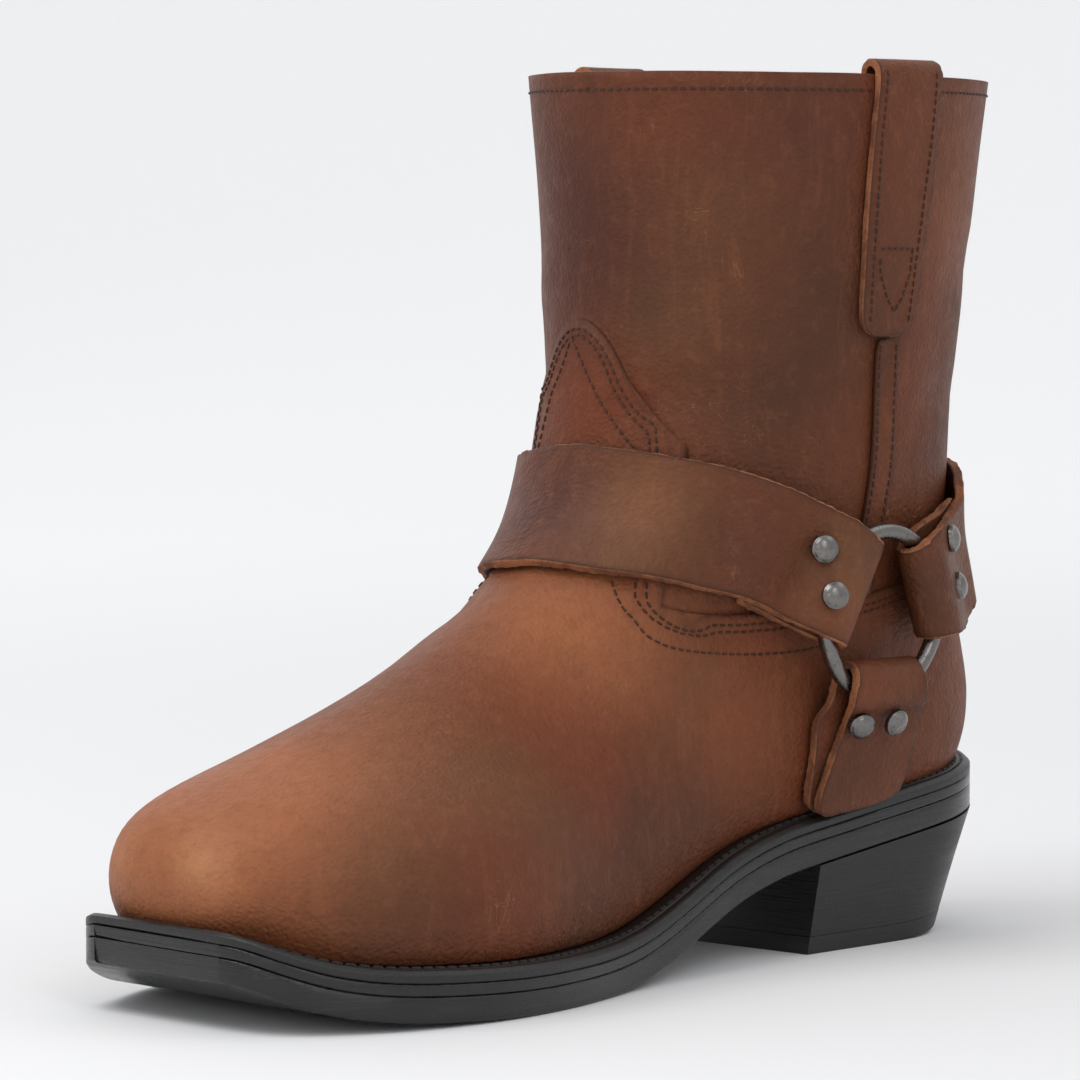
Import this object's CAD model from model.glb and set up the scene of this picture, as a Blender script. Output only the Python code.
# %% [markdown]
# # A harness boot, dressed for its picture
# The boot stands on its sole with its toe towards -Y and its outer side towards +X.
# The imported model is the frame: every solid of it is already in place, in metres.
# This lesson lays the looks over it, piece by piece, and never moves a solid.

# %% Load the fixed frame
import math
import bmesh
import bpy
import numpy as np
from mathutils import Matrix, Vector, noise
from mathutils.bvhtree import BVHTree
from mathutils.kdtree import KDTree


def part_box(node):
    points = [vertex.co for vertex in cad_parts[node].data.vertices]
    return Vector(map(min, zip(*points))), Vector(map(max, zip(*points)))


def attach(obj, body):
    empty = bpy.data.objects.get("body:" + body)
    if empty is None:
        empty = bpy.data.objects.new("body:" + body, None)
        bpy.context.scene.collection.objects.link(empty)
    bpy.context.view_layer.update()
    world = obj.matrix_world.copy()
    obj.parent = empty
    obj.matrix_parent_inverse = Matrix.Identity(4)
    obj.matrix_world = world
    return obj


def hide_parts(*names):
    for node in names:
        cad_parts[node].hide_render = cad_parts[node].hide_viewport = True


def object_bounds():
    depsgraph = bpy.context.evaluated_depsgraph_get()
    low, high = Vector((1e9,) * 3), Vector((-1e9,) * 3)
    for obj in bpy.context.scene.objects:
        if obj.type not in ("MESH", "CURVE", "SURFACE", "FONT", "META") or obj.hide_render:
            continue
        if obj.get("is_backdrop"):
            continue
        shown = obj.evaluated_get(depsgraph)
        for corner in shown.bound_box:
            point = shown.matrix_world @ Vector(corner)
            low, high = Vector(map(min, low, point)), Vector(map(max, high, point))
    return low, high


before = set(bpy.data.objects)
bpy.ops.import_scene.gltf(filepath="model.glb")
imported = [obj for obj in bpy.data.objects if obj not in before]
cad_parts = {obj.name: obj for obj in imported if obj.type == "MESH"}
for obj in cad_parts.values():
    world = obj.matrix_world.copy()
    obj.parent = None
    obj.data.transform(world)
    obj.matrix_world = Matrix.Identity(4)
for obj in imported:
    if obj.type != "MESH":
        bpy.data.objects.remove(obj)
cad_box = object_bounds()
SIDES = {"lateral": 1, "medial": -1}
MM = 0.001
print("nodes in the frame:", len(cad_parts))

# %% [markdown]
# ## The camera
# The boot is seen from its outer front quarter, a little above the ankle, through a
# long lens. A small sideways shift puts the boot where the picture has it, so the
# camera can look straight along its own direction without a turn of the head.

# %% Place the camera
VIEW_TURN = 43.0
VIEW_DOWN = 3.5
eye = bpy.data.cameras.new("view")
eye.lens = 170.1
eye.sensor_width = 36.0
eye.shift_x = -0.03
camera = bpy.data.objects.new("view", eye)
camera.location = (0.9097, -1.0515, 0.1930)
camera.rotation_euler = (math.radians(90 - VIEW_DOWN), 0, math.radians(VIEW_TURN))
bpy.context.scene.collection.objects.link(camera)
bpy.context.scene.camera = camera
print("lens", eye.lens, "mm, turned", VIEW_TURN, "degrees")

# %% [markdown]
# ## The studio
# A pale sheet runs under the boot and curves up behind it, as paper does in a studio.
# The sheet is one plane whose far edge is extruded up, with a wide bevel at the bend.
# The light is soft: a strong panel above the toe, four weaker ones round the boot and
# a pale room.

# %% A floor that curves up behind
FLOOR_REACH = 3.0
FLOOR_BEND = 1.2


def stage_floor():
    build = bmesh.new()
    bmesh.ops.create_grid(build, x_segments=1, y_segments=1, size=FLOOR_REACH)
    far = [edge for edge in build.edges if all(vert.co.y > FLOOR_REACH - 0.1 for vert in edge.verts)]
    made = bmesh.ops.extrude_edge_only(build, edges=far)["geom"]
    lifted = [item for item in made if isinstance(item, bmesh.types.BMVert)]
    bmesh.ops.translate(build, verts=lifted, vec=(0, 0, FLOOR_REACH))
    bmesh.ops.bevel(
        build, geom=far, offset=FLOOR_BEND, segments=16, profile=0.5, affect="EDGES", material=-1,
    )
    turned = Matrix.Rotation(math.radians(VIEW_TURN), 3, "Z")
    bmesh.ops.rotate(build, verts=build.verts, cent=(0, 0, 0), matrix=turned)
    mesh = bpy.data.meshes.new("studio_floor")
    build.to_mesh(mesh)
    build.free()
    mesh.shade_smooth()
    sheet = bpy.data.objects.new("studio_floor", mesh)
    bpy.context.scene.collection.objects.link(sheet)
    sheet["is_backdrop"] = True
    return sheet


floor = stage_floor()
print("floor faces:", len(floor.data.polygons))

# %% Soft light
LIGHT_AIM = (0, -0.07, 0.1)
# Columns: name, turn, rise, distance, width, height, power
LIGHTS = (
    ("panel_over_toe", -20, 58, 1.5, 1.0, 0.8, 9.0),
    ("panel_outer_side", 66, 34, 1.8, 0.5, 1.2, 4.0),
    ("panel_front", 20, 16, 2.0, 0.8, 0.5, 1.5),
    ("panel_behind", 150, 50, 2.0, 1.4, 0.8, 2.6),
    ("panel_inner_side", -110, 35, 2.0, 1.2, 1.2, 3.0),
)


def place_light(name, turn, rise, distance, width, height, power):
    """A panel that looks at the boot from a turn, 0 in front of the toe, and a rise."""
    lamp = bpy.data.lights.new(name, "AREA")
    lamp.shape = "RECTANGLE"
    lamp.size = width
    lamp.size_y = height
    lamp.energy = power
    holder = bpy.data.objects.new(name, lamp)
    turn, rise = math.radians(turn), math.radians(rise)
    flat = math.cos(rise)
    away = Vector((math.sin(turn) * flat, -math.cos(turn) * flat, math.sin(rise)))
    holder.location = Vector(LIGHT_AIM) + away * distance
    holder.rotation_euler = away.to_track_quat("Z", "Y").to_euler()
    bpy.context.scene.collection.objects.link(holder)


for row in LIGHTS:
    place_light(*row)
room = bpy.data.worlds.new("room")
room.use_nodes = True
sky = room.node_tree.nodes["Background"]
sky.inputs["Color"].default_value = (0.98, 0.99, 1.0, 1.0)
sky.inputs["Strength"].default_value = 0.72
bpy.context.scene.world = room
bpy.context.scene.view_settings.view_transform = "Standard"
print("panels:", len(LIGHTS))

# %% [markdown]
# ## Writing materials as sums
# A material here is a sum of plain ideas: brown, plus dark clouds, plus grain. To
# write it that way, a small class wraps a socket, so that + and * add the Math nodes.
# One method adds any other node. The settings come first, then the inputs.

# %% A socket that can be added and multiplied
class Tone:
    def __init__(self, tree, socket):
        self.tree = tree
        self.socket = socket

    def node(self, kind, settings=None, output=0, **inputs):
        """Any node: its settings first, then its inputs by name, underscores for spaces."""
        made = self.tree.nodes.new(kind)
        for name, value in (settings or {}).items():
            setattr(made, name, value)
        for name, value in inputs.items():
            self.feed(made, name, value)
        return Tone(self.tree, made.outputs[output])

    def feed(self, made, name, value):
        key = int(name[1:]) if name[0] == "n" and name[1:].isdigit() else name.replace("_", " ")
        if isinstance(value, Tone):
            self.tree.links.new(value.socket, made.inputs[key])
        else:
            made.inputs[key].default_value = value

    def maths(self, operation, other=0.0):
        return self.node("ShaderNodeMath", {"operation": operation}, n0=self, n1=other)

    def __add__(self, other):
        return self.maths("ADD", other)

    def __radd__(self, other):
        return self.maths("ADD", other)

    def __sub__(self, other):
        return self.maths("SUBTRACT", other)

    def __rsub__(self, other):
        return self.maths("MULTIPLY", -1.0).maths("ADD", other)

    def __mul__(self, other):
        return self.maths("MULTIPLY", other)

    def __rmul__(self, other):
        return self.maths("MULTIPLY", other)

    def clamp(self):
        return self.node("ShaderNodeClamp", None, Value=self)

    def near(self, value, width):
        """1 where this is at the value, falling to 0 at the width."""
        away = self.maths("SUBTRACT", value).maths("ABSOLUTE")
        return (1 - away * (1 / width)).clamp()

    def between(self, low, high):
        """0 below the low value, 1 above the high one, soft between them."""
        settings = {"interpolation_type": "SMOOTHSTEP"}
        return self.node("ShaderNodeMapRange", settings, n0=self, n1=low, n2=high, n3=0.0, n4=1.0)

    def blend(self, factor, colour):
        """This colour mixed towards another."""
        settings = {"data_type": "RGBA", "clamp_factor": True}
        colour = colour if isinstance(colour, Tone) else (*colour, 1.0)
        return self.node("ShaderNodeMix", settings, output=2, n0=factor, n6=self, n7=colour)

    def stretched(self, scale, turn=(0.0, 0.0, 0.0)):
        """These coordinates turned and scaled by three amounts."""
        turn = tuple(math.radians(angle) for angle in turn)
        settings = {"vector_type": "POINT"}
        return self.node("ShaderNodeMapping", settings, Vector=self, Rotation=turn, Scale=scale)

    def noise(self, scale, detail=3.0, roughness=0.55, distortion=0.0):
        """Cloudy noise read at these coordinates."""
        return self.node(
            "ShaderNodeTexNoise", {"noise_dimensions": "3D"}, Vector=self, Scale=scale,
            Detail=detail, Roughness=roughness, Distortion=distortion,
        )

    def cells(self, scale, feature="F1"):
        """Distance to the nearest of many scattered points."""
        return self.node("ShaderNodeTexVoronoi", {"feature": feature}, Vector=self, Scale=scale)


def new_material(name):
    """An empty material with its shader, and its object coordinates as a Tone."""
    made = bpy.data.materials.new(name)
    made.use_nodes = True
    tree = made.node_tree
    shader = tree.nodes["Principled BSDF"]
    place = Tone(tree, tree.nodes.new("ShaderNodeTexCoord").outputs["Object"])
    return made, shader, place


def colour_of(place, colour):
    """One colour as the start of a row of blends."""
    full = (*colour, 1.0)
    return place.node("ShaderNodeMix", {"data_type": "RGBA"}, output=2, n0=0.0, n6=full, n7=full)


def attribute(place, name):
    """A value stored on the mesh, such as how far a point lies from an edge."""
    return place.node("ShaderNodeAttribute", {"attribute_name": name}, output=2)


def bump(place, height, distance, strength=1.0, under=None):
    """Relief in metres that is only shaded, over another relief if there is one."""
    inputs = {"Height": height, "Distance": distance, "Strength": strength}
    if under is not None:
        inputs["Normal"] = under
    return place.node("ShaderNodeBump", None, **inputs)


def plug(shader, **values):
    for name, value in values.items():
        socket = shader.inputs[name.replace("_", " ")]
        if isinstance(value, Tone):
            shader.id_data.links.new(value.socket, socket)
        else:
            socket.default_value = value


print("a Tone adds and multiplies sockets")

# %% [markdown]
# ## Oiled leather
# Pull-up leather is greased brown hide. It turns pale and orange where the last
# stretches it, and dark where the oil stays, in soft clouds. A closer look shows fine
# pebbles, hair-thin scratches and tiny pits. The clouds come from values stored on
# each piece, the rest from noise at the size of the real detail.

# %% The colours of the hide
LEATHER = {
    "brown": (0.128, 0.0385, 0.0155),
    "tan": (0.325, 0.112, 0.046),
    "worn": (0.470, 0.210, 0.100),
    "red": (0.165, 0.036, 0.0135),
    "plum": (0.068, 0.0205, 0.0145),
    "olive": (0.118, 0.057, 0.0260),
    "dark": (0.060, 0.0240, 0.0130),
    "raw": (0.340, 0.120, 0.045),
}
CLOUD_TONES = ("olive", "red", "plum", "dark", "tan", "worn")


def leather(name, base, grain=1.0, gloss=0.0):
    """Oiled hide: clouds of tone, pebbled grain, scratches and a waxy sheen."""
    made, shader, place = new_material(name)
    mottle = place.noise(42.0, 5.0, 0.62, 0.6)
    patch = place.noise(16.0, 4.0, 0.58, 0.9)
    fine = place.noise(260.0, 4.0, 0.65)
    colour = colour_of(place, LEATHER[base])
    colour = colour.blend(patch.between(0.46, 0.66) * 0.36, LEATHER["red"])
    colour = colour.blend(mottle.between(0.50, 0.72) * 0.38, LEATHER["dark"])
    for tone in CLOUD_TONES:
        cloud = attribute(place, tone)
        spread = cloud * (0.55 + mottle * 0.9) + (patch - 0.5) * 0.25 * cloud
        colour = colour.blend(spread.clamp(), LEATHER[tone])
    colour = colour.blend(fine.between(0.44, 0.74) * 0.17, LEATHER["dark"])
    colour = colour.blend((1 - fine.between(0.30, 0.46)) * 0.05, LEATHER["worn"])
    streak = place.stretched((34.0, 34.0, 7.0)).noise(4.0, 6.0, 0.7, 1.4)
    colour = colour.blend(streak.between(0.50, 0.72) * 0.15, LEATHER["tan"])
    hair = place.stretched((1.0, 1.0, 0.55), (24.0, 0.0, 31.0)).noise(58.0, 3.0, 0.5, 2.2)
    crossed = place.stretched((0.6, 1.0, 1.0), (-38.0, 12.0, 0.0)).noise(71.0, 3.0, 0.5, 2.6)
    worked = place.noise(23.0, 2.0).between(0.55, 0.66)
    scratch = (hair.near(0.5, 0.006) + crossed.near(0.5, 0.005)) * worked
    colour = colour.blend(scratch * 0.34, LEATHER["worn"])
    line = 1 - attribute(place, "edge_distance").between(0.0002, 0.0008)
    colour = colour.blend(line * 0.75, LEATHER["dark"])
    rim = 1 - attribute(place, "edge_distance").between(0.0, 0.0022)
    colour = colour.blend(rim * (0.25 + mottle * 0.6) * 0.8, LEATHER["dark"])
    pebble = place.cells(880.0, "SMOOTH_F1") + place.noise(1250.0, 3.0, 0.6) * 0.8
    wrinkle = place.noise(150.0, 5.0, 0.6, 0.8)
    relief = bump(place, pebble, 0.00045 * grain, 0.75)
    relief = bump(place, wrinkle + streak * 0.6, 0.0009 * grain, 0.45, under=relief)
    relief = bump(place, 1 - scratch, 0.0002, 0.6, under=relief)
    rough = 0.50 - gloss + (mottle - 0.5) * 0.22 + (fine - 0.5) * 0.30 + attribute(place, "tan") * 0.06
    plug(
        shader, Base_Color=colour, Roughness=rough.clamp(), Normal=relief,
        Coat_Weight=((patch - 0.4) * 0.20).clamp(), Coat_Roughness=0.38,
    )
    shader.inputs["Specular IOR Level"].default_value = 0.17
    return made


upper_leather = leather("oiled_leather", "brown")
strap_leather = leather("harness_leather", "brown", grain=0.9, gloss=0.04)
print("leather nodes:", len(upper_leather.node_tree.nodes))

# %% [markdown]
# ## The cut edge of the hide
# Where a strap is cut its core shows: paler, orange and fuzzy, because the dye only
# reaches the skin. It is a rough material of its own, with fibres as fast noise.

# %% Raw edge
def raw_edge(name):
    made, shader, place = new_material(name)
    fibre = place.noise(1500.0, 4.0, 0.7)
    patch = place.noise(90.0, 4.0, 0.6, 0.5)
    colour = colour_of(place, LEATHER["raw"])
    colour = colour.blend(patch.between(0.40, 0.62) * 0.80, LEATHER["brown"])
    colour = colour.blend(fibre.between(0.50, 0.70) * 0.55, LEATHER["dark"])
    colour = colour.blend((1 - fibre.between(0.32, 0.45)) * 0.35, LEATHER["worn"])
    plug(shader, Base_Color=colour, Roughness=0.86, Normal=bump(place, fibre, 0.0006, 0.8))
    return made


cut_edge = raw_edge("cut_edge")
print("cut edge nodes:", len(cut_edge.node_tree.nodes))

# %% [markdown]
# ## Sole, thread, metal and lining
# The sole is black crepe rubber and stacked leather under one coat of black dye, so
# its walls show long level streaks from the trimming wheel. Thread is twisted, which
# shows as fast ribs. The rings and rivets are steel with a dark gun finish that has
# rubbed pale in spots.

# %% The black sole
def sole_black(name, base, rough, level):
    """Dyed black with long level streaks; level sets how strongly they show."""
    made, shader, place = new_material(name)
    streak = place.stretched((26.0, 26.0, 900.0)).noise(1.0, 5.0, 0.65, 0.2)
    wide = place.stretched((40.0, 40.0, 260.0)).noise(1.0, 4.0, 0.6, 0.3)
    grit = place.noise(900.0, 3.0, 0.6)
    scuff = place.stretched((90.0, 90.0, 420.0)).noise(1.0, 5.0, 0.75, 0.6).between(0.60, 0.74)
    colour = colour_of(place, base)
    colour = colour.blend(wide.between(0.48, 0.66) * 0.6, tuple(part * 2.3 for part in base))
    colour = colour.blend(streak.between(0.52, 0.66) * 0.45, tuple(part * 0.35 for part in base))
    colour = colour.blend(scuff * 0.30, (0.060, 0.058, 0.057))
    relief = bump(place, grit, 0.00012, 0.4)
    relief = bump(place, streak + wide * 0.7, 0.00035 * level, 0.7, under=relief)
    finish = rough + (wide - 0.5) * 0.35 + scuff * 0.16
    plug(shader, Base_Color=colour, Roughness=finish.clamp(), Normal=relief)
    shader.inputs["Specular IOR Level"].default_value = 0.5
    return made


edge_black = sole_black("sole_edge", (0.0075, 0.0075, 0.0078), 0.26, 1.0)
heel_black = sole_black("heel_edge", (0.0028, 0.0028, 0.0030), 0.40, 1.2)
tread_black = sole_black("heel_tread", (0.0060, 0.0060, 0.0062), 0.50, 0.5)
print("sole nodes:", len(edge_black.node_tree.nodes))

# %% The welt's top, with its groove
def welt_black(name):
    """Black on the wall and bevel, dark brown in the groove beside the stitches."""
    made, shader, place = new_material(name)
    inset = attribute(place, "inset") + (place.noise(320.0, 3.0, 0.6) - 0.5) * 0.0006
    groove = inset.near(0.0029, 0.0009)
    seat = inset.between(0.0052, 0.0064)
    streak = place.stretched((26.0, 26.0, 900.0)).noise(1.0, 5.0, 0.65, 0.2)
    grit = place.noise(800.0, 4.0, 0.65)
    colour = colour_of(place, (0.0085, 0.0078, 0.0075))
    colour = colour.blend(groove * 0.75, (0.040, 0.020, 0.012))
    colour = colour.blend(seat * 0.55, (0.030, 0.013, 0.008))
    colour = colour.blend(grit.between(0.5, 0.7) * 0.4, (0.004, 0.004, 0.004))
    relief = bump(place, grit, 0.0003, 0.6)
    relief = bump(place, 1 - groove, 0.0009, 0.8, under=relief)
    relief = bump(place, streak, 0.0003, 0.5, under=relief)
    rough = 0.42 + (grit - 0.5) * 0.3 + groove * 0.15
    plug(shader, Base_Color=colour, Roughness=rough.clamp(), Normal=relief)
    return made


welt_finish = welt_black("welt_edge")
print("welt nodes:", len(welt_finish.node_tree.nodes))

# %% Thread, metal and lining
def thread(name, colour):
    made, shader, place = new_material(name)
    twist = place.stretched((1.0, 1.0, 1.0), (35.0, 20.0, 45.0)).node(
        "ShaderNodeTexWave", {"wave_type": "BANDS", "bands_direction": "DIAGONAL"},
        output=1, Scale=900.0, Distortion=1.2, Detail=2.0,
    )
    soot = place.noise(120.0, 3.0, 0.6)
    shade = colour_of(place, colour)
    shade = shade.blend(soot.between(0.42, 0.66) * 0.65, tuple(channel * 0.35 for channel in colour))
    shade = shade.blend(twist * 0.25, tuple(channel * 1.7 for channel in colour))
    plug(shader, Base_Color=shade, Roughness=0.62, Normal=bump(place, twist, 0.0002, 0.6))
    return made


def gun_metal(name):
    made, shader, place = new_material(name)
    cloud = place.noise(180.0, 5.0, 0.65, 0.6)
    speck = place.noise(900.0, 4.0, 0.7)
    worn = cloud.between(0.52, 0.70)
    colour = colour_of(place, (0.190, 0.180, 0.172))
    colour = colour.blend(worn * 0.55, (0.33, 0.31, 0.29))
    colour = colour.blend(speck.between(0.56, 0.70) * 0.5, (0.035, 0.030, 0.028))
    rough = 0.20 + cloud * 0.14 + speck.between(0.52, 0.70) * 0.25
    relief = bump(place, speck, 0.0001, 0.5)
    plug(shader, Base_Color=colour, Metallic=1.0, Roughness=rough.clamp(), Normal=relief)
    return made


def lining(name):
    made, shader, place = new_material(name)
    cloud = place.noise(60.0, 4.0, 0.6, 0.4)
    fleck = place.noise(700.0, 3.0, 0.7)
    colour = colour_of(place, (0.33, 0.20, 0.115))
    colour = colour.blend(cloud.between(0.42, 0.68) * 0.5, (0.20, 0.105, 0.058))
    colour = colour.blend(fleck.between(0.5, 0.7) * 0.3, (0.42, 0.28, 0.18))
    plug(shader, Base_Color=colour, Roughness=0.82, Normal=bump(place, fleck, 0.0003, 0.5))
    return made


brown_thread = thread("brown_thread", (0.070, 0.026, 0.013))
dark_thread = thread("welt_thread", (0.018, 0.014, 0.012))
gun_finish = gun_metal("gun_metal")
lining_leather = lining("lining_leather")
print("materials so far:", len(bpy.data.materials))

# %% The paper of the floor
def paper():
    made, shader, place = new_material("studio_paper")
    soft = place.noise(3.0, 2.0)
    away = place.node("ShaderNodeVectorMath", {"operation": "LENGTH"}, output=1, n0=place)
    colour = colour_of(place, (0.80, 0.80, 0.81)).blend(soft * 0.3, (0.82, 0.82, 0.83))
    glow = colour_of(place, (0.0, 0.0, 0.0)).blend(away.between(0.35, 2.2), (0.20, 0.20, 0.20))
    plug(shader, Base_Color=colour, Roughness=0.9, Emission_Color=glow, Emission_Strength=1.0)
    return made


floor.data.materials.append(paper())
print("floor ready")

# %% [markdown]
# ## From a solid to a smooth piece
# The solids are faceted, so each piece that shows is a merged copy: its triangles are
# joined back to four-sided faces, its sharp edges are creased, and a Subdivision
# Surface rounds the rest. The result is kept as a plain mesh, so that dents and
# values can be laid on its fine points.

# %% Copy, crease and subdivide
DOUBLES = 0.01 * MM


def merged_copy(node):
    """A CAD node's mesh with its doubles merged and its triangles joined to quads."""
    build = bmesh.new()
    build.from_mesh(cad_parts[node].data)
    build.edges.layers.float.new("crease_edge")
    bmesh.ops.remove_doubles(build, verts=build.verts, dist=DOUBLES)
    bmesh.ops.join_triangles(
        build, faces=build.faces,
        angle_face_threshold=math.radians(50), angle_shape_threshold=math.radians(75),
    )
    build.normal_update()
    build.edges.index_update()
    build.faces.index_update()
    return build


def crease_edges(build, wanted, amount):
    layer = build.edges.layers.float["crease_edge"]
    for edge in build.edges:
        if wanted(edge):
            edge[layer] = amount


def sharp(angle):
    """A test for edges that turn by more than an angle in degrees."""
    return lambda edge: edge.is_manifold and edge.calc_face_angle() > math.radians(angle)


def keep_piece(mesh, name, nodes, finishes, sharp_angle=None):
    """An object that rides on the boot and stands for its nodes."""
    for finish in finishes:
        mesh.materials.append(finish)
    mesh.shade_smooth()
    if sharp_angle:
        mesh.set_sharp_from_angle(angle=math.radians(sharp_angle))
    piece = bpy.data.objects.new(name, mesh)
    bpy.context.scene.collection.objects.link(piece)
    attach(piece, "root")
    if nodes:
        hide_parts(*nodes)
    return piece


def smoothed_mesh(build, name, levels):
    """The bmesh under a Subdivision Surface, as a plain mesh."""
    mesh = bpy.data.meshes.new(name + "_cage")
    build.to_mesh(mesh)
    build.free()
    cage = bpy.data.objects.new(name + "_cage", mesh)
    bpy.context.scene.collection.objects.link(cage)
    soften = cage.modifiers.new("soften", "SUBSURF")
    soften.levels = soften.render_levels = levels
    depsgraph = bpy.context.evaluated_depsgraph_get()
    smooth = bpy.data.meshes.new_from_object(cage.evaluated_get(depsgraph))
    smooth.name = name
    bpy.data.objects.remove(cage)
    bpy.data.meshes.remove(mesh)
    return smooth


def points_of(mesh):
    places = np.empty(len(mesh.vertices) * 3)
    mesh.vertices.foreach_get("co", places)
    return places.reshape(-1, 3)


def store(mesh, name, values):
    """One value for each vertex, for a material to read."""
    layer = mesh.attributes.get(name) or mesh.attributes.new(name, "FLOAT", "POINT")
    layer.data.foreach_set("value", np.asarray(values, dtype=np.float32))


def surface_of(meshes):
    """A tree to cast on, over one mesh or several."""
    places, faces, start = [], [], 0
    for mesh in meshes:
        places += [vertex.co.copy() for vertex in mesh.vertices]
        faces += [[start + i for i in face.vertices] for face in mesh.polygons]
        start = len(places)
    return BVHTree.FromPolygons(places, faces)


print("helpers ready")

# %% [markdown]
# ## Where the clouds of colour lie
# Each cloud is a soft ball in the boot's own millimetres: a tone, its centre, its
# radius and how strong it is. The outer side and toe follow the picture. The inner
# side and the back, which it doesn't show, get a few of the same kind.

# %% Clouds on the boot and on the harness
# Columns: tone, x, y, z, radius, amount
BOOT_CLOUDS = (
    ("tan", 4, -216, 48, 34, 0.90), ("tan", 7, -192, 58, 32, 0.60), ("tan", -9, -222, 38, 24, 0.70),
    ("tan", -20, -205, 45, 26, 0.60), ("worn", 11, -221, 41, 9, 0.75), ("worn", -22, -224, 40, 9, 0.60),
    ("tan", 1, -159, 72, 30, 0.35), ("tan", 10, -97, 94, 28, 0.75), ("tan", 26, -86, 85, 20, 0.30),
    ("red", 25, -107, 76, 20, 0.50), ("red", 41, -110, 51, 20, 0.55), ("red", 52, -150, 33, 24, 0.50),
    ("olive", 36, -152, 57, 24, 0.60), ("olive", 48, -132, 41, 20, 0.50), ("olive", 44, -191, 39, 22, 0.45),
    ("olive", 33, -63, 71, 16, 0.40), ("red", 33, -49, 63, 18, 0.50),
    ("red", 35, -42, 85, 14, 0.40), ("tan", 34, -50, 66, 22, 0.30),
    ("dark", 39, -89, 37, 18, 0.50), ("dark", 50, -186, 20, 22, 0.45), ("dark", 50, -113, 20, 20, 0.50),
    ("dark", 35, -65, 37, 16, 0.40), ("dark", 22, -217, 24, 15, 0.35), ("plum", -12, -68, 211, 26, 0.60),
    ("plum", 1, -67, 185, 24, 0.60), ("plum", -19, -62, 174, 16, 0.40), ("plum", 46, -38, 224, 28, 0.50),
    ("olive", 28, -57, 198, 26, 0.45), ("olive", 17, -61, 166, 22, 0.40), ("dark", 46, -27, 174, 26, 0.70),
    ("dark", 37, -44, 143, 24, 0.50), ("red", 28, -61, 218, 22, 0.25), ("red", -7, -67, 148, 18, 0.70),
    ("red", 13, -64, 148, 14, 0.35), ("plum", 43, 24, 136, 20, 0.40), ("red", 38, 26, 81, 22, 0.30),
    ("tan", 48, 26, 201, 20, 0.20), ("dark", 43, 44, 158, 20, 0.35), ("tan", 0, 60, 60, 26, 0.35),
    ("olive", -10, 55, 110, 30, 0.45), ("plum", -44, 20, 190, 34, 0.55), ("dark", -48, -10, 140, 26, 0.50),
    ("red", -38, -60, 70, 26, 0.50), ("tan", -34, -120, 62, 28, 0.40), ("olive", -44, -150, 45, 24, 0.45),
    ("dark", -42, -100, 26, 24, 0.45), ("red", -30, 40, 60, 22, 0.40), ("tan", -44, -30, 215, 22, 0.25),
)
HARNESS_CLOUDS = (
    ("plum", -7, -79, 122, 20, 0.80), ("olive", 21, -73, 117, 22, 0.80), ("tan", 22, -72, 121, 14, 0.30),
    ("plum", 38, -53, 111, 18, 0.40), ("olive", 54, -28, 106, 14, 0.60), ("tan", 54, -29, 96, 10, 0.30),
    ("dark", 52, 3, 94, 14, 0.70), ("olive", 47, 26, 109, 12, 0.50), ("red", 54, -15, 71, 14, 0.40),
    ("olive", 54, -7, 76, 9, 0.45), ("dark", 44, -15, 49, 14, 0.40), ("tan", 0, 64, 112, 18, 0.35),
    ("plum", -30, 50, 110, 20, 0.50), ("olive", -50, -30, 104, 18, 0.55), ("dark", -40, -60, 116, 18, 0.45),
    ("red", -52, -12, 66, 16, 0.40),
)


CLOUD_FALL = 1.2


def store_clouds(mesh, clouds):
    """Every tone's strength at every vertex, the clouds of one tone added up."""
    places = points_of(mesh) / MM
    for tone in CLOUD_TONES:
        total = np.zeros(len(places))
        for name, x, y, z, radius, amount in clouds:
            if name == tone:
                away = np.linalg.norm(places - (x, y, z), axis=1) / radius
                total += amount * np.exp(-CLOUD_FALL * away ** 2)
        store(mesh, tone, np.minimum(total, 1.0))


print("clouds:", len(BOOT_CLOUDS), "on the boot,", len(HARNESS_CLOUDS), "on the harness")

# %% [markdown]
# ## The upper
# Vamp and counter lie over the shaft, and their cut edge is a step in the hide. On the
# copy that step is a ring of short edges, which gives the line that the stitches
# follow. The step and the rim are creased, then the whole hide is made fine.

# %% The line of the step, and the rim
STEP = 1.3 * MM
ANKLE_Y = -6.0 * MM


def turn_of(place):
    """Degrees round the ankle from the front line, positive towards the outer side."""
    return math.degrees(math.atan2(place[0], -(place[1] - ANKLE_Y)))


cage = merged_copy("upper")
step_edges = [edge for edge in cage.edges if abs(edge.calc_length() - STEP) < 0.02 * MM]
step_feet = []
for edge in step_edges:
    far = max(edge.verts, key=lambda vert: math.hypot(vert.co.x, vert.co.y - ANKLE_Y))
    step_feet.append(far.co.copy())
step_feet.sort(key=turn_of)
rim_z = max(vert.co.z for vert in cage.verts)
print("step points:", len(step_feet), "rim at", round(rim_z / MM, 1), "mm")

# %% A closed line through points
def closed_line(points, spacing):
    """Even steps on a smooth closed curve through points."""
    points = np.array([tuple(point) for point in points])
    count = len(points)
    dense = []
    for i in range(count):
        before, here, after, beyond = (points[(i + k) % count] for k in (-1, 0, 1, 2))
        for t in np.linspace(0, 1, 12, endpoint=False):
            dense.append(0.5 * (
                2 * here + (after - before) * t + (2 * before - 5 * here + 4 * after - beyond) * t ** 2
                + (3 * here - before - 3 * after + beyond) * t ** 3
            ))
    return even_steps(np.array(dense + [dense[0]]), spacing)


def even_steps(points, spacing):
    """A line cut again at even steps."""
    lengths = np.concatenate([[0], np.cumsum(np.linalg.norm(np.diff(points, axis=0), axis=1))])
    at = np.linspace(0, lengths[-1], max(2, int(round(lengths[-1] / spacing)) + 1))
    return np.column_stack([np.interp(at, lengths, points[:, i]) for i in range(3)])


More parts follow.
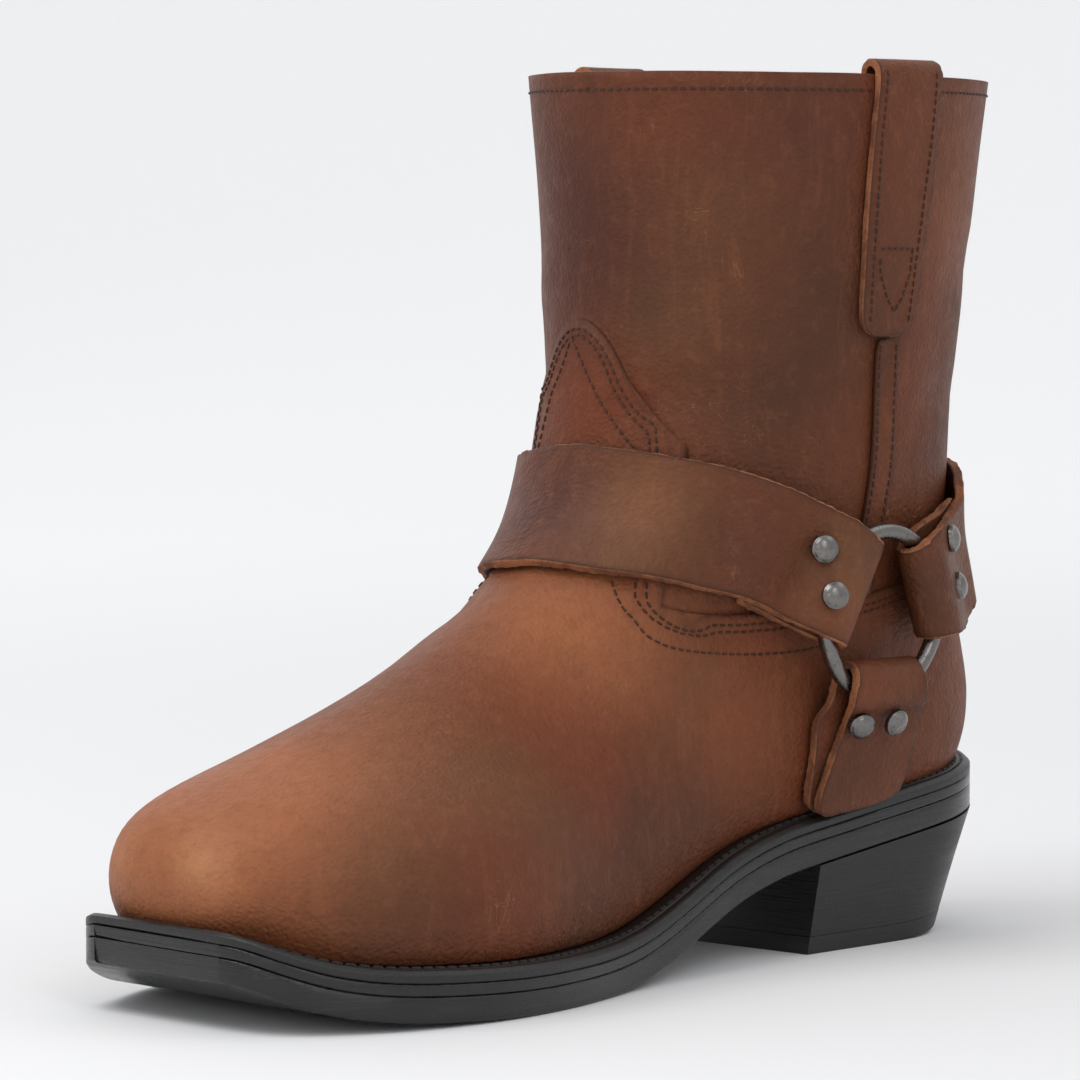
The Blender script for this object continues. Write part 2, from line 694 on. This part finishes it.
step_line = closed_line(step_feet, 1.0 * MM)
print("step line:", len(step_line), "mm long")

# %% [markdown]
# ## Creases in the hide
# A worn boot folds where the ankle bends and sags a little in the shaft. Each row is
# one crease: where it starts and ends, as degrees round the ankle and height, how wide
# it is and how deep. A minus depth is a soft ridge.

# %% Troughs and ridges
SHAFT_RADIUS = 55.0
CREASE_BOW = 2.0
# Columns: turn_a, z_a, turn_b, z_b, width, depth
CREASES = (
    (4, 97, 38, 84, 6.0, 0.8), (6, 88, 44, 74, 7.0, -0.6), (10, 80, 40, 64, 6.0, 0.5),
    (-8, 96, -42, 82, 6.0, 0.8), (-10, 86, -48, 72, 7.0, -0.6), (-14, 78, -44, 62, 6.0, 0.5),
    (2, 142, 40, 150, 9.0, 0.7), (14, 160, 66, 152, 9.0, -0.5), (20, 176, 70, 186, 11.0, 0.6),
    (-30, 150, -80, 158, 10.0, 0.7), (-20, 180, -70, 172, 10.0, -0.5), (30, 214, 62, 196, 12.0, 0.5),
    (112, 150, 168, 138, 9.0, 0.9), (108, 138, 160, 146, 7.0, -0.6), (-112, 148, -166, 140, 9.0, 0.9),
    (118, 186, 172, 176, 12.0, 0.7), (-116, 184, -170, 178, 12.0, 0.7), (100, 78, 150, 66, 9.0, 0.6),
    (28, 60, 60, 50, 8.0, 0.5), (-28, 60, -62, 50, 8.0, 0.5), (84, 128, 88, 222, 10.0, 0.4),
)


def crease_depth(places):
    """How deep the creases press at each place, in metres."""
    turns = np.degrees(np.arctan2(places[:, 0], -(places[:, 1] - ANKLE_Y)))
    depth = np.zeros(len(places))
    for turn_a, z_a, turn_b, z_b, width, deep in CREASES:
        run = np.array([math.radians(turn_b - turn_a) * SHAFT_RADIUS, z_b - z_a])
        length = np.linalg.norm(run)
        gap = (turns - turn_a + 180) % 360 - 180
        flat = np.column_stack([np.radians(gap) * SHAFT_RADIUS, places[:, 2] / MM - z_a])
        along = flat @ run / length ** 2
        off = (flat @ np.array([-run[1], run[0]])) / length
        bow = off - CREASE_BOW * np.sin(np.clip(along, 0, 1) * math.pi)
        ends = np.clip(np.minimum(along, 1 - along) * 4 + 0.4, 0, 1)
        ends = ends * ends * (3 - 2 * ends)
        depth += deep * MM * ends * np.exp(-(bow / width * 1.6) ** 2)
    return depth


def soft_waves(places, size, amount, seed):
    """Low even swells, from noise that is the same every time."""
    shift = Vector((seed, seed * 1.7, seed * 2.3))
    return np.array([noise.noise(Vector(place) / size + shift) for place in places]) * amount


print("creases:", len(CREASES))

# %% Build the upper
CREASES_FROM = 22 * MM
CREASES_FADE = 16 * MM


def nearest_distances(places, line):
    """How far each place lies from a line of points."""
    tree = KDTree(len(line))
    for i, point in enumerate(line):
        tree.insert(point, i)
    tree.balance()
    return np.array([tree.find(place)[2] for place in places])


def build_upper():
    crease_edges(cage, sharp(38), 1.0)
    step_ids = {edge.index for edge in step_edges}
    on_step = {vert for edge in step_edges for vert in edge.verts}
    rings = {
        edge.index for edge in cage.edges
        if edge.index not in step_ids and all(vert in on_step for vert in edge.verts)
    }
    crease_edges(cage, lambda edge: edge.index in rings, 1.0)
    mesh = smoothed_mesh(cage, "upper_leather", 2)
    places = points_of(mesh)
    normals = np.array([vertex.normal for vertex in mesh.vertices])
    inwards = crease_depth(places) + soft_waves(places, 0.030, 0.30 * MM, 4.0)
    outwards = np.column_stack([places[:, 0], places[:, 1] - ANKLE_Y, np.zeros(len(places))])
    facing = np.sign(np.einsum("ij,ij->i", normals, outwards) + 1e-9)
    foot = np.clip((places[:, 2] - CREASES_FROM) / CREASES_FADE, 0, 1)
    moved = places - normals * (inwards * foot * facing)[:, None]
    mesh.vertices.foreach_set("co", moved.ravel())
    store_clouds(mesh, BOOT_CLOUDS)
    store(mesh, "edge_distance", nearest_distances(moved, step_line))
    mesh.update()
    return mesh


upper_mesh = build_upper()
keep_piece(upper_mesh, "upper_hide", ["upper"], [upper_leather], 50)
upper_tree = surface_of([upper_mesh])
print("upper triangles:", sum(len(face.vertices) - 2 for face in upper_mesh.polygons))

# %% [markdown]
# ## The sole
# Outsole, midsole and welt are three layers with hairline gaps, and the heel is a
# stack on a top lift. Their outlines only need rounding, so each is a creased and
# subdivided copy. The welt also stores how far each point lies inside its outline,
# which places the groove.

# %% Layers and heel
SWELL = 0.14 * MM


def swollen(mesh):
    """The mesh grown a hair outwards, which closes most of a gap between layers."""
    normals = np.array([vertex.normal for vertex in mesh.vertices])
    mesh.vertices.foreach_set("co", (points_of(mesh) + normals * SWELL).ravel())
    mesh.update()
    return mesh


def rounded_copy(node, name):
    build = merged_copy(node)
    crease_edges(build, sharp(28), 1.0)
    return swollen(smoothed_mesh(build, name, 2))


# Columns: node, name, finish
SOLE_LAYERS = (
    ("outsole", "outsole_layer", edge_black),
    ("midsole", "midsole_layer", edge_black),
    ("heel_stack", "heel_layers", heel_black),
    ("heel_top_lift", "heel_lift", tread_black),
    ("insole", "insole_board", lining_leather),
)
for node, name, finish in SOLE_LAYERS:
    keep_piece(rounded_copy(node, name), name, [node], [finish], 30)
print("sole layers:", len(SOLE_LAYERS))

# %% The welt and its outline
SOLE_CENTRE = (0.0, -0.076)


def flat_outline(node):
    """The node's outer wall as a closed line seen from above."""
    build = merged_copy(node)
    found = {}
    for face in build.faces:
        if abs(face.normal.z) < 0.3:
            for vert in face.verts:
                away = (vert.co.x - SOLE_CENTRE[0], vert.co.y - SOLE_CENTRE[1])
                if face.normal.x * away[0] + face.normal.y * away[1] > 0:
                    found[vert.index] = (vert.co.x, vert.co.y, 0.0)
    build.free()
    centre_x, centre_y = SOLE_CENTRE
    points = sorted(found.values(), key=lambda p: math.atan2(p[0] - centre_x, p[1] - centre_y))
    kept = [points[0]]
    for point in points[1:]:
        if math.dist(point, kept[-1]) > 0.5 * MM:
            kept.append(point)
    return closed_line(kept, 1.0 * MM)


def drawn_inside(line, inset):
    """A closed flat line moved towards its inside."""
    ahead = np.roll(line, -2, axis=0) - np.roll(line, 2, axis=0)
    ahead /= np.maximum(np.linalg.norm(ahead, axis=1, keepdims=True), 1e-9)
    side = np.column_stack([ahead[:, 1], -ahead[:, 0], ahead[:, 2]])
    centre = np.array([*SOLE_CENTRE, 0.0])
    if np.einsum("ij,ij->i", side, centre - line).sum() < 0:
        side = -side
    return line + side * inset


outline = flat_outline("welt")[:-1]
welt_mesh = rounded_copy("welt", "welt_strip")
flat = points_of(welt_mesh) * (1, 1, 0)
store(welt_mesh, "inset", nearest_distances(flat, outline))
keep_piece(welt_mesh, "welt_strip", ["welt"], [welt_finish], 30)
welt_tree = surface_of([welt_mesh])
print("outline points:", len(outline))

# %% [markdown]
# ## The harness straps
# Every strap is one flat ribbon that folds round its ring. On a copy, the faces with
# an edge exactly as long as the hide is thick are the cut sides, so they get the raw
# material. Fine points near a cut are pushed about a little, as fibres are.

# %% A ribbon of hide with raw edges
def ribbon_mesh(node, name, thickness, levels, clouds, fray=0.32, shape=None):
    build = merged_copy(node)
    raw = set()
    for face in build.faces:
        if any(abs(edge.calc_length() - thickness) < 0.03 * MM for edge in face.edges):
            face.material_index = 1
            raw.add(face.index)
    rim = {
        edge.index for edge in build.edges
        if 0 < sum(face.index in raw for face in edge.link_faces) < len(edge.link_faces)
    }
    crease_edges(build, lambda edge: edge.index in rim, 0.72)
    mesh = smoothed_mesh(build, name, levels)
    cut = {i for face in mesh.polygons if face.material_index == 1 for i in face.vertices}
    places = points_of(mesh)
    store(mesh, "edge_distance", nearest_distances(places, [places[i] for i in cut]))
    normals = np.array([vertex.normal for vertex in mesh.vertices])
    push = soft_waves(places, 0.0016, fray * MM, 9.0) + soft_waves(places, 0.006, fray * MM, 2.0)
    is_cut = np.zeros(len(places))
    is_cut[list(cut)] = 1.0
    moved = places + normals * (push * is_cut + soft_waves(places, 0.022, 0.10 * MM, 5.0))[:, None]
    if shape is not None:
        moved = shape(moved)
    mesh.vertices.foreach_set("co", moved.ravel())
    store_clouds(mesh, clouds)
    mesh.update()
    return mesh


STRAP_THICK = 2.6 * MM
straps = {}
for node in ("front_strap", "back_strap", "lower_strap_lateral", "lower_strap_medial"):
    mesh = ribbon_mesh(node, node + "_hide", STRAP_THICK, 3, HARNESS_CLOUDS)
    straps[node] = keep_piece(mesh, node + "_hide", [node], [strap_leather, cut_edge], 60)
print("straps:", len(straps))

# %% [markdown]
# ## Pull straps and side seams
# The pull straps go up the side, over the rim and down inside, with a rounded foot.
# The side seam is a thin strip below each. Both are ribbons too, so they use the
# same builder, and the foot of the pull strap is rounded by drawing its corners in.

# %% Pull straps with a rounded foot
PULL_THICK = 2.2 * MM
SEAM_THICK = 1.1 * MM
FOOT_ROUND = 7.0 * MM
FOOT_HALF = 9.5 * MM
FOOT_DRAWN = 5.5 * MM


def rounded_foot(node):
    low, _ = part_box(node)

    def shape(places):
        outer = places[:, 2] < low.z + FOOT_ROUND
        middle = places[outer][:, 1].mean()
        into = np.clip((low.z + FOOT_ROUND - places[:, 2]) / FOOT_ROUND, 0, 1)
        limit = FOOT_HALF - FOOT_DRAWN * (1 - np.sqrt(np.clip(1 - into ** 2, 0, 1)))
        share = np.where(outer, limit / FOOT_HALF, 1.0)
        places = places.copy()
        places[:, 1] = middle + (places[:, 1] - middle) * share
        return places

    return shape


pulls = {}
for name in SIDES:
    node = "pull_strap_" + name
    mesh = ribbon_mesh(node, node + "_hide", PULL_THICK, 3, BOOT_CLOUDS, 0.15, rounded_foot(node))
    pulls[name] = keep_piece(mesh, node + "_hide", [node], [strap_leather, cut_edge], 60)
seams = {}
for name in SIDES:
    node = "side_seam_" + name
    mesh = ribbon_mesh(node, node + "_strip", SEAM_THICK, 2, BOOT_CLOUDS, 0.05)
    seams[name] = keep_piece(mesh, node + "_strip", [node], [upper_leather, upper_leather], 60)
print("pull straps:", len(pulls), "side seams:", len(seams))

# %% [markdown]
# ## Rings and rivets
# A ring is a circle spun round an axis, and a rivet is a small profile spun into a
# dome. Where each one stands and how it is turned is read from its solid: the mean of
# its points is on its axis, and the direction in which it is thinnest is the axis.

# %% Find an axis
def axis_of(node, side):
    """Centre, outward axis, lowest point along the axis, and points of a round solid."""
    places = np.unique(points_of(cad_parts[node].data).round(6), axis=0)
    centre = places.mean(axis=0)
    _, ways = np.linalg.eigh(np.cov((places - centre).T))
    axis = ways[:, 0]
    if axis[0] * side < 0:
        axis = -axis
    return centre, axis, ((places - centre) @ axis).min(), places


def stand_up(axis, centre):
    """A matrix that takes Z to an axis and the origin to a centre."""
    turned = Vector(axis).to_track_quat("Z", "Y").to_matrix().to_4x4()
    return Matrix.Translation(Vector(centre)) @ turned


print("axes come from the solids")

# %% Rings
RING_WIRE = 4.3 * MM
for name, side in SIDES.items():
    node = "harness_ring_" + name
    centre, axis, _, places = axis_of(node, side)
    radius = np.linalg.norm(places - centre, axis=1).mean()
    build = bmesh.new()
    start = Matrix.Translation((radius, 0, 0)) @ Matrix.Rotation(math.radians(90), 4, "X")
    bmesh.ops.create_circle(build, cap_ends=False, radius=RING_WIRE / 2, segments=20, matrix=start)
    bmesh.ops.spin(
        build, geom=build.verts[:] + build.edges[:], cent=(0, 0, 0), axis=(0, 0, 1),
        angle=math.tau, steps=96, use_merge=True,
    )
    bmesh.ops.remove_doubles(build, verts=build.verts, dist=DOUBLES)
    bmesh.ops.recalc_face_normals(build, faces=build.faces)
    bmesh.ops.transform(build, matrix=stand_up(axis, centre), verts=build.verts)
    mesh = bpy.data.meshes.new(node + "_wire")
    build.to_mesh(mesh)
    build.free()
    keep_piece(mesh, node + "_wire", [node], [gun_finish])
print("ring radius:", round(radius / MM, 1), "mm")

# %% Rivets
# Columns: radius, height
RIVET_PROFILE = (
    (3.65, -0.9), (3.70, 0.25), (3.60, 0.48), (3.32, 0.60), (3.10, 0.84),
    (2.6, 1.28), (1.7, 1.66), (0.8, 1.86), (0.0, 1.90),
)


def rivet(node, side):
    centre, axis, lowest, _ = axis_of(node, side)
    build = bmesh.new()
    chain = [build.verts.new((radius * MM, 0, height * MM)) for radius, height in RIVET_PROFILE]
    edges = [build.edges.new(pair) for pair in zip(chain, chain[1:])]
    bmesh.ops.spin(
        build, geom=chain + edges, cent=(0, 0, 0), axis=(0, 0, 1),
        angle=math.tau, steps=28, use_merge=True,
    )
    bmesh.ops.remove_doubles(build, verts=build.verts, dist=DOUBLES)
    open_rim = [edge for edge in build.edges if edge.is_boundary]
    bmesh.ops.holes_fill(build, edges=open_rim)
    bmesh.ops.recalc_face_normals(build, faces=build.faces)
    bmesh.ops.transform(build, matrix=stand_up(axis, centre + axis * lowest), verts=build.verts)
    mesh = bpy.data.meshes.new(node + "_head")
    build.to_mesh(mesh)
    build.free()
    keep_piece(mesh, node + "_head", [node], [gun_finish], 50)


rivets = [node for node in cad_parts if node.startswith("rivet_")]
for node in rivets:
    rivet(node, 1 if node.endswith("lateral") else -1)
print("rivets:", len(rivets))

# %% [markdown]
# ## Stitches
# Real stitches are short rounded dashes that sink into the hide. One dash is a small
# six-sided rod with pinched ends. A row lays a dash at each even step of a line, turned
# along it and lying on the surface below, and the whole row is one piece.

# %% One row of dashes
SEAT_DEPTH = 0.12


def dash(build, length, width):
    """A six-sided rod along X whose ends are pinched and sink; gives its points."""
    verts = bmesh.ops.create_cone(
        build, cap_ends=True, segments=6, radius1=width / 2, radius2=width / 2,
        depth=length * 0.7, matrix=Matrix.Rotation(math.radians(90), 4, "Y"),
    )["verts"]
    faces = {face for vert in verts for face in vert.link_faces}
    for end in [face for face in faces if len(face.verts) == 6]:
        way = 1 if end.calc_center_median().x > 0 else -1
        bmesh.ops.inset_individual(build, faces=[end], thickness=width * 0.22, depth=0)
        bmesh.ops.translate(build, verts=end.verts, vec=(way * length * 0.15, 0, -width * 0.2))
        verts = list(set(verts) | set(end.verts))
    return verts


def lay_rows(name, rows, finish, pitch=2.5, length=1.75, width=0.62, sink=0.05):
    """One piece of dashes along lines of (place, way out) pairs."""
    build = bmesh.new()
    count = 0
    for line in rows:
        places = np.array([place for place, _ in line])
        outs = np.array([out for _, out in line])
        lengths = np.concatenate([[0], np.cumsum(np.linalg.norm(np.diff(places, axis=0), axis=1))])
        total = lengths[-1] / MM
        for at in np.arange(pitch / 2, total - pitch / 3, pitch) * MM:
            here = np.array([np.interp(at, lengths, places[:, i]) for i in range(3)])
            ahead = np.array([np.interp(at + 0.4 * MM, lengths, places[:, i]) for i in range(3)])
            out = Vector([np.interp(at, lengths, outs[:, i]) for i in range(3)]).normalized()
            way = Vector(ahead - here).normalized()
            across = out.cross(way).normalized()
            turn = Matrix((way, across, out)).transposed().to_4x4()
            seat = Vector(here) + out * (width * 0.5 - sink - SEAT_DEPTH) * MM
            verts = dash(build, length * MM, width * MM)
            bmesh.ops.transform(build, matrix=Matrix.Translation(seat) @ turn, verts=verts)
            count += 1
    mesh = bpy.data.meshes.new(name)
    build.to_mesh(mesh)
    build.free()
    keep_piece(mesh, name, [], [finish])
    print(name, count, "stitches")


CAST_ROUND = 0.3
CAST_SIDE = 0.12


def on_boot(tree, turn, z):
    """The place and way out on a boot's side, by degrees round the ankle and height."""
    turn = math.radians(turn)
    away = Vector((math.sin(turn), -math.cos(turn), 0))
    start = Vector((0, ANKLE_Y, z * MM)) + away * CAST_ROUND
    hit, normal, _, _ = tree.ray_cast(start, -away)
    return None if hit is None else (np.array(hit), np.array(normal))


def on_side(tree, side, y, z):
    """The place and way out straight in from one side, at millimetres y and z."""
    start = Vector((side * CAST_SIDE, y * MM, z * MM))
    hit, normal, _, _ = tree.ray_cast(start, Vector((-side, 0, 0)))
    return None if hit is None else (np.array(hit), np.array(normal))


def cast_row(points):
    line = [on_boot(upper_tree, turn, z) for turn, z in points]
    return [item for item in line if item is not None]


def soft_curve(points):
    """Points on a soft curve through a few (turn, height) pairs."""
    points = np.array(points, dtype=float)
    at = np.arange(len(points))
    fine = np.linspace(0, len(points) - 1, len(points) * 10)
    tangents = np.gradient(points, axis=0)
    cell = np.clip(fine.astype(int), 0, len(points) - 2)
    t = (fine - at[cell])[:, None]
    low, high = points[cell], points[cell + 1]
    a, b = tangents[cell], tangents[cell + 1]
    near_low = low * (1 + 2 * t) * (1 - t) ** 2 + a * t * (1 - t) ** 2
    near_high = high * t * t * (3 - 2 * t) + b * t * t * (t - 1)
    return near_low + near_high


print("stitch tools ready")

# %% Rows round the collar and beside the step
FLAT_RADIUS = 58.0
COLLAR_DROP = 3.8
STEP_ROWS = (2.6, 4.4)
SMOOTH_ROUNDS = 6


def beside_step(distance):
    """Points a few millimetres below the step, measured across its line."""
    flat = np.array([(math.radians(turn_of(p)) * FLAT_RADIUS, p[2] / MM) for p in step_line[:-1]])
    order = np.argsort(flat[:, 0])
    flat = flat[order]
    ahead = np.gradient(flat, axis=0)
    ahead /= np.maximum(np.linalg.norm(ahead, axis=1, keepdims=True), 1e-9)
    down = np.column_stack([ahead[:, 1], -ahead[:, 0]])
    kept = flat + down * distance
    clear = [
        point for point in kept
        if np.min(np.linalg.norm(flat - point, axis=1)) > distance * 0.93
    ]
    clear = np.array(sorted(clear, key=lambda point: point[0]))
    for _ in range(SMOOTH_ROUNDS):
        clear[1:-1] = (clear[:-2] + clear[1:-1] * 2 + clear[2:]) / 4
    return [(math.degrees(x / FLAT_RADIUS), z) for x, z in clear]


def faces_turn(place, turn):
    """Whether a place lies on the near side of the ankle, seen from a turn."""
    turn = math.radians(turn)
    return place[0] * math.sin(turn) - (place[1] - ANKLE_Y) * math.cos(turn) > 0


collar_row = []
for turn in np.arange(-180, 180.1, 1.5):
    for z in np.arange(rim_z / MM - 1, rim_z / MM - 40, -0.5):
        top = on_boot(upper_tree, turn, z)
        if top is not None and faces_turn(top[0], turn):
            collar_row.append((turn, z - COLLAR_DROP))
            break
rows = [cast_row(collar_row)]
rows += [cast_row(beside_step(distance)) for distance in STEP_ROWS]
lay_rows("collar_and_step_stitches", rows, brown_thread)

# %% Ornament rows on the vamp
# Columns: turn, z
PEAK_OUTER = ((-9.0, 164.8), (-2.7, 154.7), (2.5, 146.5), (6.9, 141.0), (12.4, 135.4))
PEAK_INNER = ((-9.4, 163.0), (-13.0, 155.7), (-17.6, 148.7), (-20.4, 141.2), (-22.5, 134.0))
LOW_OUTER = (
    (13.7, 102.0), (15.9, 96.8), (18.8, 91.7), (21.8, 87.3), (26.4, 84.1),
    (34.5, 82.1), (46.0, 81.3), (62.1, 81.7), (80.0, 84.0),
)
LOW_INNER = tuple((-turn, z) for turn, z in LOW_OUTER)
ornament = [cast_row(soft_curve(points)) for points in (PEAK_OUTER, PEAK_INNER, LOW_OUTER, LOW_INNER)]
lay_rows("ornament_stitches", ornament, brown_thread)

# %% Rows on the pull straps and seams
PULL_FOOT = (-9.0, 168.0)
PULL_TOP_Y = -4.6
PULL_ROW_DROP = 2.0
PULL_ROWS = ((-7.0, -9.7), (7.0, 9.7))
SHIELD_Y = -7.9
# Columns: y beside the strap's middle, z
SHIELD = (
    (-6.0, 187.5), (6.0, 187.5), (5.6, 181.0), (2.8, 174.5),
    (0.0, 171.0), (-2.8, 174.5), (-5.6, 181.0), (-6.0, 187.5),
)
SEAM_FOOT = (-7.6, 96.0)
SEAM_TOP = (-8.0, 163.5)
SEAM_ROWS = ((-3.0, -3.0), (3.0, 3.0))


def strip_rows(tree, side, foot, top, offsets):
    """Lines up a strip on the boot's side, each beside its middle by an offset."""
    rows = []
    for low_off, high_off in offsets:
        line = []
        for share in np.linspace(0, 1, 40):
            middle, z = (low + (high - low) * share for low, high in zip(foot, top))
            y = middle + low_off + (high_off - low_off) * min(1, share * 1.4)
            found = on_side(tree, side, y, z)
            if found is not None and found[0][0] * side > 0:
                line.append(found)
        rows.append(line)
    return rows


def shield_row(tree, side):
    """The shield at the foot of a pull strap, as one line of straight runs."""
    line = []
    for (y_a, z_a), (y_b, z_b) in zip(SHIELD, SHIELD[1:]):
        for share in np.linspace(0, 1, 12, endpoint=False):
            y, z = y_a + (y_b - y_a) * share + SHIELD_Y, z_a + (z_b - z_a) * share
            found = on_side(tree, side, y, z)
            if found is not None:
                line.append(found)
    return line


for name, side in SIDES.items():
    _, pull_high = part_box("pull_strap_" + name)
    pull_top = (PULL_TOP_Y, pull_high.z / MM - PULL_ROW_DROP)
    pull_tree = surface_of([pulls[name].data])
    rows = strip_rows(pull_tree, side, PULL_FOOT, pull_top, PULL_ROWS)
    rows.append(shield_row(pull_tree, side))
    lay_rows("pull_strap_stitches_" + name, rows, brown_thread, pitch=2.3, length=1.6)
    seam_tree = surface_of([seams[name].data, upper_mesh])
    rows = strip_rows(seam_tree, side, SEAM_FOOT, SEAM_TOP, SEAM_ROWS)
    lay_rows("side_seam_stitches_" + name, rows, brown_thread, pitch=2.4, length=1.7)

# %% Welt stitches
WELT_ROW = 4.3 * MM


def welt_row():
    line = []
    for x, y, _ in drawn_inside(outline, WELT_ROW):
        hit, normal, _, _ = welt_tree.ray_cast(Vector((x, y, 0.12)), Vector((0, 0, -1)))
        if hit is not None:
            line.append((np.array(hit), np.array(normal)))
    return line + line[:1]


lay_rows(
    "welt_stitches", [welt_row()], dark_thread,
    pitch=3.4, length=2.9, width=1.05, sink=0.25,
)

# %% [markdown]
# ## Finish
# The box of the finished boot is written beside that of the solids, so that the two
# can be compared.

# %% Write the sizes and finish
dressed_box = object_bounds()
for name, box in (("solids", cad_box), ("dressed", dressed_box)):
    print(name, [round((high - low) / MM, 1) for low, high in zip(*box)], "mm")
